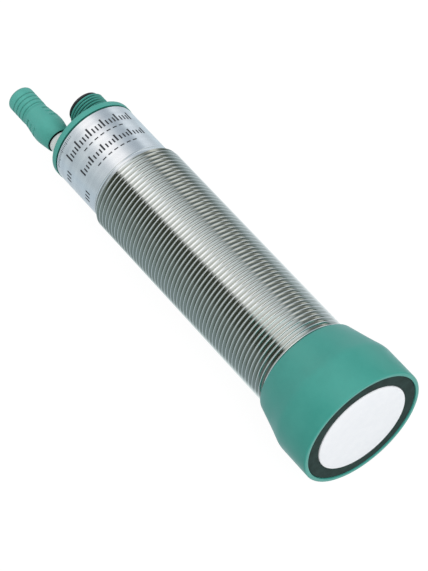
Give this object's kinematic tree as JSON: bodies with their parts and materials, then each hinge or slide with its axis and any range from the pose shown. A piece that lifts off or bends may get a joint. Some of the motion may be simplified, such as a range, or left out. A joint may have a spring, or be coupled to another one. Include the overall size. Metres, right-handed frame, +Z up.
{
  "type": "ultrasonic sensor",
  "caption": "Cylindrical ultrasonic distance sensor: white face in a green conical head, threaded metal barrel, round plug connector and a push-in program plug at the rear.",
  "frame": {"origin": "centre of the white sensing face", "axes": "+X is the sensing direction, out of the face along the barrel's axis; +Y points from the axis to the connector, and the push-in plug is on the -Y side; +Z is up"},
  "size_m": [0.1553, 0.0388, 0.0388],
  "materials": {
    "nickel_barrel": "nickel-plated turned brass",
    "green_plastic": "fine satin moulded",
    "black_foam": "closed-cell foam",
    "white_resin": "matt filled resin",
    "piezo_ceramic": "fired and silvered",
    "damping_silicone": "cast",
    "lead_insulation": "extruded",
    "black_rubber": "moulded",
    "board_laminate": "solder mask on laminate",
    "ferrite": "sintered",
    "copper_wire": "enamelled wire",
    "black_plastic": "moulded",
    "capacitor_can": "drawn can",
    "green_lamp": "clear coloured",
    "yellow_lamp": "clear coloured",
    "gold_contact": "gold-plated",
    "clear_plastic": "clear, slightly milky",
    "potting_resin": "cast"
  },
  "bodies": {
    "sensor": {"barrel": "nickel_barrel", "head_housing": "green_plastic", "decoupling_ring": "black_foam", "transducer_face": "white_resin", "piezo_disc": "piezo_ceramic", "damping_block": "damping_silicone", "transducer_lead_a": "lead_insulation", "transducer_lead_b": "lead_insulation", "head_seal_ring": "black_rubber", "circuit_board": "board_laminate", "transformer_core": "ferrite", "transformer_winding": "copper_wire", "microcontroller": "black_plastic", "storage_capacitor": "capacitor_can", "led_green": "green_lamp", "led_yellow": "yellow_lamp", "rear_cap": "green_plastic", "rear_seal_ring": "black_rubber", "connector_insert": "black_plastic", "contact_pin_1": "gold_contact", "contact_pin_2": "gold_contact", "contact_pin_3": "gold_contact", "contact_pin_4": "gold_contact", "contact_pin_5": "gold_contact", "socket_collar": "clear_plastic", "socket_insert": "black_plastic"},
    "program_plug": {"plug_grip": "green_plastic", "plug_carrier": "black_plastic", "plug_pin_1": "gold_contact", "plug_pin_2": "gold_contact", "plug_pin_3": "gold_contact", "plug_pin_4": "gold_contact", "temperature_probe": "potting_resin"}
  },
  "joints": [
    {"name": "plug_pull", "type": "slide", "parent": "sensor", "child": "program_plug", "axis": [-1, 0, 0], "range_m": [0, 0.012]}
  ]
}
